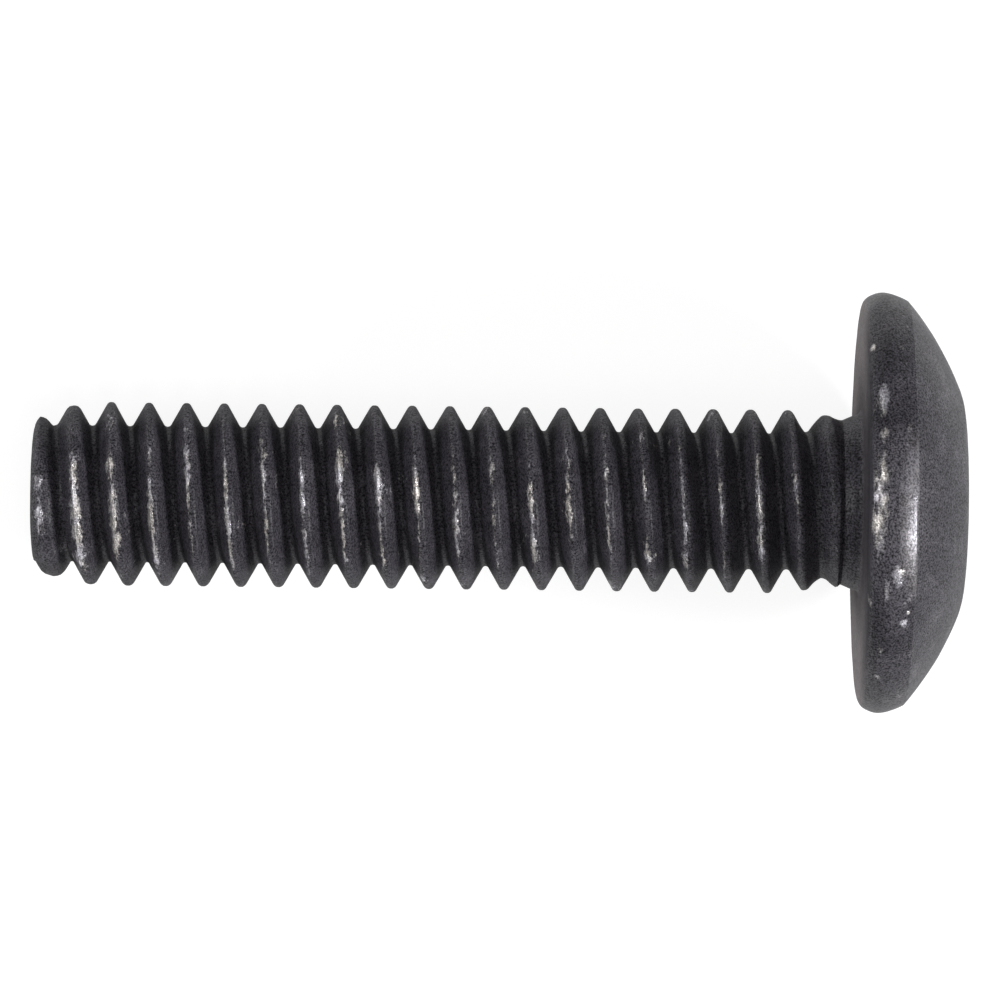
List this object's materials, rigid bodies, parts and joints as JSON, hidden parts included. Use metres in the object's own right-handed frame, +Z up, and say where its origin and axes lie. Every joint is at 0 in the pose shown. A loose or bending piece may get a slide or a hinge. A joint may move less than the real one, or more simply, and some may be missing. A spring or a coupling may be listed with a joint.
{
  "type": "machine screw",
  "caption": "Black machine screw with a wide low domed truss head, a hexagon socket and a coarse right-hand thread that runs up to the head.",
  "frame": {"origin": "on the surface that the screw lies on, under the middle of its box", "axes": "+Z up; the screw's axis lies in the XZ plane and rises by about 8.7 degrees from the point, at -X, to the head, at +X"},
  "size_m": [0.0318, 0.0142, 0.0141],
  "materials": {
    "black_steel": "matte black conversion coating on steel, worn to bare metal along crests and rim"
  },
  "bodies": {
    "root": {"screw": "black_steel"}
  },
  "joints": []
}
